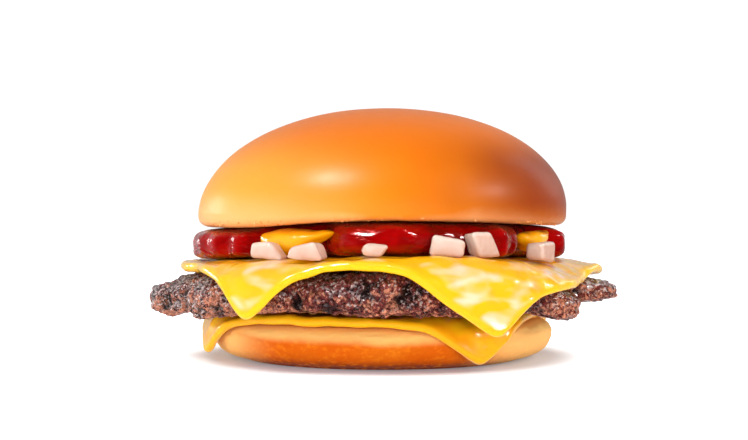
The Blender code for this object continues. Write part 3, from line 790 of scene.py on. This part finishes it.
def slice_place(look, height, radius, hang, bend, reach, corners, sides, seed, slice_shade):
    """The mapping for a melted cheese slice: it lies on a layer and hangs over its rim at the corners."""
    flat_share = 0.3  # of the rings lie in the hidden middle

    def place(azimuth, polar, mesh):
        points = np.zeros((len(azimuth), 3))
        rim = np.zeros(len(azimuth))
        normals = np.zeros((len(azimuth), 3))
        from_pole = 1 - np.abs(1 - polar / (math.pi / 2))
        side = np.where(polar < math.pi / 2, 1, -1)
        lift = CHEESE_AIR + CHEESE_THICKNESS / 2
        columns = columns_of(azimuth)
        turns = [azimuth[column[0]] for column in columns]
        marks = np.linspace(0, 80 * MM, 400)
        for turn, column, lines in zip(turns, columns, drape_table(turns, marks, height, radius, lift, hang)):
            full = reach + bumps(turn, corners, CORNER_POWER, CORNER_SOFTNESS) + bumps(turn, sides)
            u = from_pole[column]
            outer = np.clip((u - flat_share) / (1 - flat_share), 0, 1)
            eased = 1 - (1 - outer) ** 1.6
            distance = np.where(u < flat_share, bend * u / flat_share, bend + (full - bend) * eased)
            to_edge = full - distance
            bead = 1 + 0.16 * np.exp(-(((to_edge - 1.3 * MM) / (1.1 * MM)) ** 2))
            half = CHEESE_THICKNESS / 2 * bead
            lip = np.clip(to_edge / half, 0, 1)
            half = half * np.sqrt(1 - (1 - lip) ** 2) * side[column]
            out, up, outward, upward = (np.interp(distance, marks, values) for values in lines)
            points[column] = polar_points(out + half * outward, turn, up + half * upward)
            normals[column] = polar_points(outward, turn, upward)
            rim[column] = 1 - ramp(to_edge, 0.8 * MM, 3.0 * MM)
        slow = cloud(points, 9 * MM, seed) + 0.5 * cloud(points, 4.5 * MM, seed + 1)
        from_axis = np.hypot(points[:, 0], points[:, 1])
        swell = look.swell * (slow + 0.6) * ramp(from_axis, bend * 0.98, bend * 1.12)
        ripple = look.ripple * cloud(points, 2.2 * MM, seed + 2)
        store(mesh, "rim", rim)
        # The share of painted shade: the slice under the patty is coloured as in shade.
        store(mesh, "warm", np.full(len(points), slice_shade))
        return points + normals * (swell + ripple)[:, None]

    return place


def ketchup_reach(azimuth):
    """How far the ketchup's lip reaches from the axis."""
    reach = KETCHUP_REACH + bumps(azimuth, KETCHUP_LOBES)
    fronts = [(facts[0], facts[1], facts[2][0], facts[2][1]) for facts in MUSTARD_DABS.values()]
    for centre, distance, half_along, half_across in (*fronts, *ONION_DICE):
        half_angle = math.degrees(half_along / distance)
        behind = np.exp(-((np.abs(angle_from(azimuth, centre)) / (1.2 * half_angle)) ** 5))
        reach = reach + behind * np.minimum(distance - half_across - POCKET_AIR - reach, 0)
    return reach


def ketchup_place(look):
    """The mapping for the ketchup: a pool under the crown with a swollen, stringy lip."""

    def place(azimuth, polar, mesh):
        across, upright = KETCHUP_POWERS
        rho = ketchup_reach(azimuth) * np.abs(np.sin(polar)) ** (2 / across)
        bed = np.zeros(len(azimuth))
        for column in columns_of(azimuth):
            bed[column] = np.interp(rho[column], *cheese_top_line(azimuth[column[0]]))
        bed += TOUCH
        roof = crown_underside(rho * np.cos(azimuth)) - TOUCH
        rounding = np.sign(np.cos(polar)) * np.abs(np.cos(polar)) ** (2 / upright)
        points = polar_points(rho, azimuth, (bed + roof) / 2 + (roof - bed) / 2 * rounding)
        lip = ramp(np.sin(polar), 0.35, 0.8)
        folds = np.hypot(cloud(points * (1, 1, 1.6), 11 * MM, 21), 0.16) + 0.3 * cloud(points, 5 * MM, 22)
        left, right = (angle_from(azimuth, end) / width for end, width in ((190, 17), (350, 14)))
        ends = np.exp(-(left**4)) + np.exp(-(right**4))
        slant = angle_from(azimuth, 200) * 0.40 + points[:, 2] / MM * 0.9 + 1.2 * cloud(points, 9 * MM, 24)
        strings = 0.35 * MM * ends * lip * np.maximum(np.sin(slant), 0) ** 14
        outward = 1 + (look.swell * (folds - 0.3) * lip + strings) / np.maximum(rho, MM)
        points[:, :2] *= outward[:, None]
        return points

    return place


def mustard_mesh(look, name, azimuth, distance, half_sizes, lift):
    """A flattened drop of mustard under the crown, long along the rim."""
    turn = math.radians(azimuth)
    along, across, tall = half_sizes
    bed = float(np.interp(distance, *cheese_top_line(turn)))
    middle = np.array([distance * math.cos(turn), distance * math.sin(turn), bed + lift + tall])
    forward = np.array([-math.sin(turn), math.cos(turn), 0])
    outward = np.array([math.cos(turn), math.sin(turn), 0])

    def place(angle, polar, mesh):
        flat = np.abs(np.sin(polar)) ** MUSTARD_EDGE_POWER
        ahead = flat * np.cos(angle)
        points = middle + (along * (ahead + 0.25 * np.maximum(ahead, 0) ** 4))[:, None] * forward
        points = points + (across * flat * np.sin(angle))[:, None] * outward
        right = np.maximum(ahead, 0)
        points[:, 2] += tall * np.cos(polar) * (1 - 0.6 * right**2)
        points[:, 2] += look.swell * (1.0 * right**2.5 + 0.3 * np.maximum(-ahead, 0) ** 3)
        points[:, 2] -= look.swell * 0.4 * np.exp(-(((ahead + 0.1) / 0.3) ** 2)) * (polar > math.pi / 2)
        normals = ball_normals(mesh, points)
        points = points + normals * (look.swell * 0.3 * cloud(points, 4.5 * MM, 31))[:, None]
        points[:, 2] = np.minimum(points[:, 2], crown_underside(points[:, 0]) - TOUCH)
        return points

    return ball_mesh(name, 96, 48, place)


def onion_mesh(node):
    """An onion die at its solid's place, with soft cut edges and slightly curved faces."""
    die = bmesh.new()
    die.from_mesh(node.data)
    bmesh.ops.remove_doubles(die, verts=die.verts, dist=0.01 * MM)
    bmesh.ops.dissolve_limit(die, angle_limit=math.radians(1), verts=die.verts, edges=die.edges)
    bmesh.ops.triangulate(die, faces=die.faces)
    for rounds in (0, 1, 1, 1):
        bmesh.ops.subdivide_edges(die, edges=die.edges, cuts=1, use_grid_fill=True)
        for _ in range(rounds):
            bmesh.ops.smooth_vert(
                die, verts=die.verts, factor=0.5, use_axis_x=True, use_axis_y=True, use_axis_z=True
            )
    mesh = bpy.data.meshes.new("onion")
    die.normal_update()
    for vertex in die.verts:
        swell = 0.22 * noise.noise(vertex.co / (3.5 * MM)) + 0.07 * noise.noise(vertex.co / (1.1 * MM))
        vertex.co += vertex.normal * swell * MM
    soft = np.array([vertex.co for vertex in die.verts])
    sharp = np.array([vertex.co for vertex in node.data.vertices])
    stretch = np.ptp(sharp, axis=0) / np.ptp(soft, axis=0)
    middle = (sharp.max(axis=0) + sharp.min(axis=0)) / 2
    soft = middle + (soft - (soft.max(axis=0) + soft.min(axis=0)) / 2) * stretch
    for vertex, point in zip(die.verts, soft):
        vertex.co = point
    die.to_mesh(mesh)
    die.free()
    mesh.shade_smooth()
    return mesh


def show(name, mesh, material, slot, *nodes):
    """Makes a finished mesh a piece that stands for CAD nodes."""
    mesh.name = name
    mesh.materials.clear()
    mesh.materials.append(material)
    piece = bpy.data.objects.new(name, mesh)
    bpy.context.scene.collection.objects.link(piece)
    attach(piece, "root")
    if nodes:
        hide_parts(*nodes)
    return piece


# Scattered grains


class GrowTree(Nodes):
    """A Geometry Nodes tree being made."""

    def __init__(self, name, inputs):
        super().__init__(bpy.data.node_groups.new(name, "GeometryNodeTree"))
        self.tree.interface.new_socket("Geometry", in_out="INPUT", socket_type="NodeSocketGeometry")
        for label, kind in inputs:
            self.tree.interface.new_socket(label, in_out="INPUT", socket_type=kind)
        self.tree.interface.new_socket("Geometry", in_out="OUTPUT", socket_type="NodeSocketGeometry")
        self.given = self.node("NodeGroupInput", out=None)

    def finish(self, geometry):
        self.node("NodeGroupOutput", {}, {0: geometry})
        return self.tree


def grain_tree():
    """Uneven grains scattered over a surface and set in it a little."""
    inputs = (
        ("Grain size", "NodeSocketFloat"),
        ("Per area", "NodeSocketFloat"),
        ("Smallest", "NodeSocketFloat"),
        ("Seed", "NodeSocketInt"),
        ("Material", "NodeSocketMaterial"),
    )
    grow = GrowTree("scattered grains", inputs)
    grain_size, seed = grow.given["Grain size"], grow.given["Seed"]
    sockets = {"Mesh": grow.given["Geometry"], "Density": grow.given["Per area"], "Seed": seed}
    points = grow.node("GeometryNodeDistributePointsOnFaces", {}, sockets, out="Points")
    turns = {0: (0, 0, 0), 1: (math.tau, math.tau, math.tau), "Seed": seed}
    turn = grow.node("FunctionNodeRandomValue", {"data_type": "FLOAT_VECTOR"}, turns, out=0)
    sizes = {2: grow.given["Smallest"], 3: 1.0, "Seed": seed}
    size = grow.node("FunctionNodeRandomValue", {"data_type": "FLOAT"}, sizes, out=1)
    grain = grow.node("GeometryNodeMeshIcoSphere", {}, {"Radius": 0.5, "Subdivisions": 2})
    sockets = {"Points": points, "Instance": grain, "Rotation": turn, "Scale": size * grain_size}
    placed = grow.node("GeometryNodeInstanceOnPoints", {}, sockets)
    real = grow.node("GeometryNodeRealizeInstances", {}, {"Geometry": placed})
    place = grow.node("GeometryNodeInputPosition")
    sockets = {"Vector": place, "Scale": 1.1 / grain_size, "Detail": 1.0}
    lumps = grow.node("ShaderNodeTexNoise", {}, sockets, out="Color")
    centred = grow.node("ShaderNodeVectorMath", {"operation": "SUBTRACT"}, {0: lumps, 1: (0.5, 0.5, 0.5)})
    offset = grow.node("ShaderNodeVectorMath", {"operation": "SCALE"}, {0: centred, "Scale": grain_size})
    uneven = grow.node("GeometryNodeSetPosition", {}, {"Geometry": real, "Offset": offset})
    smooth = grow.node("GeometryNodeSetShadeSmooth", {}, {"Geometry": uneven})
    sockets = {"Geometry": smooth, "Material": grow.given["Material"]}
    return grow.finish(grow.node("GeometryNodeSetMaterial", {}, sockets))


def grown_mesh(name, host_mesh, tree, values):
    """The mesh that a tree makes on a host mesh, plain and with its instances real."""
    host = bpy.data.objects.new(name + "_host", host_mesh)
    bpy.context.scene.collection.objects.link(host)
    grower = host.modifiers.new("grow", "NODES")
    grower.node_group = tree
    for item in tree.interface.items_tree:
        if item.in_out == "INPUT" and item.name in values:
            grower[item.identifier] = values[item.name]
    seen = host.evaluated_get(bpy.context.evaluated_depsgraph_get())
    mesh = bpy.data.meshes.new_from_object(seen)
    host.modifiers.remove(grower)
    bpy.data.objects.remove(host, do_unlink=True)
    if not len(mesh.polygons):
        raise RuntimeError(f"nothing grew for {name}")
    return mesh


def faces_where(mesh, wanted):
    """A copy of the mesh with only the faces whose middle is wanted."""
    part = bmesh.new()
    part.from_mesh(mesh)
    unwanted = [face for face in part.faces if not wanted(face.calc_center_median())]
    bmesh.ops.delete(part, geom=unwanted, context="FACES")
    kept = bpy.data.meshes.new(mesh.name + "_part")
    part.to_mesh(kept)
    part.free()
    return kept


# Operators


class CHEESEBURGER_OT_bun(bpy.types.Operator):
    """Build the bun's crown and heel"""

    bl_idname = "cheeseburger.bun"
    bl_label = "Bun"

    def execute(self, context):
        look = context.scene.burger_bun
        crown = ball_mesh("bun_crown", 420, 200, crown_place)
        show("crown_crust", crown, crust_finish(look), "crust", "bun_crown")
        heel = ball_mesh("bun_heel", 520, 150, heel_place)
        show("heel_crust", heel, heel_finish(look), "heel_crust", "bun_heel")
        return {"FINISHED"}


class CHEESEBURGER_OT_crumbs(bpy.types.Operator):
    """Scatter fine bread crumbs along the crown's cut rim"""

    bl_idname = "cheeseburger.crumbs"
    bl_label = "Crumbs"

    def execute(self, context):
        look = context.scene.burger_crumbs
        crown = bpy.data.objects["crown_crust"].data
        rim = faces_where(crown, self.on_torn_rim)
        values = {
            "Grain size": look.size,
            "Per area": look.per_area,
            "Smallest": 0.35,
            "Seed": look.seed,
            "Material": crumb_finish(context.scene.burger_bun),
        }
        mesh = grown_mesh("crumbs", rim, grain_tree(), values)
        show("bread_crumbs", mesh, values["Material"], "heel_crust")
        return {"FINISHED"}

    def on_torn_rim(self, at):
        low = CROWN_UNDERSIDE + 1.1 * MM - bow(at.x)
        return at.z < low and math.hypot(at.x, at.y) > 47.5 * MM and noise.noise(at / (11 * MM)) > 0.0


class CHEESEBURGER_OT_patty(bpy.types.Operator):
    """Build the smashed patty"""

    bl_idname = "cheeseburger.patty"
    bl_label = "Patty"

    def execute(self, context):
        look = context.scene.burger_patty
        mesh = ball_mesh("patty", 880, 110, patty_place(look))
        show("beef_patty", mesh, meat_finish(look), "meat", "patty")
        return {"FINISHED"}


class CHEESEBURGER_OT_cheese(bpy.types.Operator):
    """Build the two melted cheese slices"""

    bl_idname = "cheeseburger.cheese"
    bl_label = "Cheese slices"

    def execute(self, context):
        look = context.scene.burger_cheese
        finish = cheese_finish(look)
        top = (patty_height, patty_radius, TOP_SLICE_HANG, TOP_SLICE_BEND, TOP_SLICE_REACH)
        low = (heel_height, HEEL_RADIUS, LOW_SLICE_HANG, LOW_SLICE_BEND, LOW_SLICE_REACH)
        for name, node, drape, corners, sides, fineness, seed, slice_shade in (
            ("over_patty", "cheese_top", top, TOP_SLICE_CORNERS, TOP_SLICE_SIDES, (600, 140), 41, 0.0),
            ("under_patty", "cheese_bottom", low, LOW_SLICE_CORNERS, LOW_SLICE_SIDES, (520, 130), 51, 1.0),
        ):
            place = slice_place(look, *drape, corners, sides, seed, slice_shade)
            show(f"cheese_{name}", ball_mesh(name, *fineness, place), finish, "cheese", node)
        return {"FINISHED"}


class CHEESEBURGER_OT_sauces(bpy.types.Operator):
    """Build the ketchup and the mustard dabs"""

    bl_idname = "cheeseburger.sauces"
    bl_label = "Sauces"

    def execute(self, context):
        look = context.scene.burger_sauces
        ketchup = ball_mesh("ketchup", 720, 90, ketchup_place(look))
        show("ketchup_pool", ketchup, ketchup_finish(look), "ketchup", "ketchup")
        finish = mustard_finish(look)
        for node, facts in MUSTARD_DABS.items():
            mesh = mustard_mesh(look, node, *facts)
            show(node.replace("mustard", "mustard_dab"), mesh, finish, "mustard", node)
        return {"FINISHED"}


class CHEESEBURGER_OT_onion(bpy.types.Operator):
    """Build the onion dice"""

    bl_idname = "cheeseburger.onion"
    bl_label = "Onion dice"

    def execute(self, context):
        finish = onion_finish(context.scene.burger_onion)
        nodes = sorted(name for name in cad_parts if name.startswith("onion_"))
        for node in nodes:
            mesh = onion_mesh(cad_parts[node])
            show(node.replace("onion", "onion_die"), mesh, finish, "onion", node)
        return {"FINISHED"}


class CHEESEBURGER_OT_stage(bpy.types.Operator):
    """Set the pale floor, the soft lights and the camera"""

    bl_idname = "cheeseburger.stage"
    bl_label = "Stage"

    def execute(self, context):
        scene = context.scene
        look = scene.burger_stage
        scene.view_settings.view_transform = "Standard"
        self.add_floor(look)
        self.paint_world(scene, look)
        self.add_lights(look)
        self.add_camera(scene)
        return {"FINISHED"}

    def add_floor(self, look):
        """A wide pale floor that glows white, but dimmer close to the burger, which paints a soft shadow
        there.
        """
        bpy.ops.mesh.primitive_plane_add(size=4)
        floor = bpy.context.object
        floor.name = "floor"
        paint = Finish("floor")
        away = (paint.x * paint.x + paint.y * paint.y) ** 0.5
        # Painted shadow: the glow dims close to the burger.
        glow = paint.blend(away.between(45 * MM, 59 * MM), look.shadow_glow, WHITE)
        floor.data.materials.append(paint.done(look.floor, 0.9, specular=0.1, glow=glow))
        floor.visible_glossy = False

    def add_lights(self, look):
        """Soft lights that show everywhere, only in what they light, or only where they are mirrored."""
        for name, way, distance, size, strength, shows in (
            ("key", KEY_WAY, 0.65, (0.26, 0.26), look.key, "everywhere"),
            ("rim", (0.69, 0.60, 0.41), 0.6, (0.10, 0.34), look.rim, "everywhere"),
            ("front fill", (0.15, -1, 0.04), 0.7, (0.5, 0.4), look.front_fill, "not mirrored"),
            ("left fill", (-1, -0.35, 0.10), 0.7, (0.5, 0.4), look.left_fill, "not mirrored"),
            ("right fill", (1, -0.40, 0.70), 0.7, (0.5, 0.4), look.right_fill, "not mirrored"),
            ("glint", KEY_WAY, 0.6, (0.13, 0.10), look.glint, "mirrored"),
            ("left glint", (-0.86, 0.50, 0.15), 0.6, (0.05, 0.12), look.glint * 0.10, "mirrored"),
            ("right glint", (0.96, -0.28, 0.48), 0.6, (0.10, 0.04), look.glint * 0.20, "mirrored"),
        ):
            light = self.soft_light(name, way, distance, size, strength)
            light.visible_glossy = shows != "not mirrored"
            light.visible_diffuse = shows != "mirrored"

    def add_camera(self, scene):
        camera = bpy.data.objects.new("camera", bpy.data.cameras.new("camera"))
        camera.location = CAMERA_PLACE
        camera.rotation_euler = CAMERA_TURN
        camera.data.lens = CAMERA_LENS
        camera.data.sensor_width = CAMERA_SENSOR
        camera.data.clip_start = 0.01
        scene.collection.objects.link(camera)
        scene.camera = camera

    def paint_world(self, scene, look):
        """White walls, dimmer in glossy things and behind the camera, and plain white past the floor."""
        scene.world = bpy.data.worlds.new("studio")
        scene.world.use_nodes = True
        nodes = Nodes(scene.world.node_tree)
        walls = nodes.fill(nodes.tree.nodes["Background"], {"Color": WHITE, "Strength": look.walls})
        way = nodes.node("ShaderNodeTexCoord", out="Generated")
        front = Vector((0.25, -1, 0.2)).normalized()
        sockets = {0: way, 1: front}
        towards = nodes.node("ShaderNodeVectorMath", {"operation": "DOT_PRODUCT"}, sockets, out="Value")
        sockets = {"Value": towards, "From Min": -0.9, "From Max": 0.3}
        sockets.update({"To Min": look.mirrored, "To Max": look.front})
        dimmed = nodes.node("ShaderNodeMapRange", {"interpolation_type": "SMOOTHSTEP"}, sockets)
        mirrored = nodes.node("ShaderNodeBackground", {}, {"Color": WHITE, "Strength": dimmed})
        backdrop = nodes.node("ShaderNodeBackground", {}, {"Color": WHITE, "Strength": 1.05})
        ray = nodes.node("ShaderNodeLightPath", out=None)
        indoors = nodes.node("ShaderNodeMixShader", {}, {0: ray["Is Glossy Ray"], 1: walls, 2: mirrored})
        seen = nodes.node("ShaderNodeMixShader", {}, {0: ray["Is Camera Ray"], 1: indoors, 2: backdrop})
        nodes.fill(nodes.tree.nodes["World Output"], {0: seen})

    def soft_light(self, name, way, distance, size, strength):
        lamp = bpy.data.lights.new(name, "AREA")
        lamp.shape = "RECTANGLE"
        lamp.size, lamp.size_y = size
        lamp.energy = strength
        light = bpy.data.objects.new(name, lamp)
        light.location = STAGE_MIDDLE + Vector(way).normalized() * distance
        light.rotation_euler = (STAGE_MIDDLE - light.location).to_track_quat("-Z", "Y").to_euler()
        bpy.context.scene.collection.objects.link(light)
        return light


class CHEESEBURGER_PT_panel(bpy.types.Panel):
    """Buttons that build the burger piece by piece"""

    bl_idname = "CHEESEBURGER_PT_panel"
    bl_label = "Cheeseburger"
    bl_space_type = "VIEW_3D"
    bl_region_type = "UI"
    bl_category = "Burger"

    def draw(self, context):
        for operator in OPERATORS:
            self.layout.operator(operator.bl_idname)


SETTINGS = {
    "burger_bun": BunSettings,
    "burger_patty": PattySettings,
    "burger_cheese": CheeseSettings,
    "burger_sauces": SauceSettings,
    "burger_onion": OnionSettings,
    "burger_crumbs": CrumbSettings,
    "burger_stage": StageSettings,
}
OPERATORS = (
    CHEESEBURGER_OT_bun,
    CHEESEBURGER_OT_crumbs,
    CHEESEBURGER_OT_patty,
    CHEESEBURGER_OT_cheese,
    CHEESEBURGER_OT_sauces,
    CHEESEBURGER_OT_onion,
    CHEESEBURGER_OT_stage,
)


def register():
    for kind in (*SETTINGS.values(), *OPERATORS, CHEESEBURGER_PT_panel):
        bpy.utils.register_class(kind)
    for name, kind in SETTINGS.items():
        setattr(bpy.types.Scene, name, PointerProperty(type=kind))


def unregister():
    for name in SETTINGS:
        delattr(bpy.types.Scene, name)
    for kind in (CHEESEBURGER_PT_panel, *OPERATORS, *SETTINGS.values()):
        bpy.utils.unregister_class(kind)


def main():
    register()
    bpy.ops.cheeseburger.bun()
    bpy.ops.cheeseburger.crumbs()
    bpy.ops.cheeseburger.patty()
    bpy.ops.cheeseburger.cheese()
    bpy.ops.cheeseburger.sauces()
    bpy.ops.cheeseburger.onion()
    bpy.ops.cheeseburger.stage()


if __name__ == "__main__":
    main()
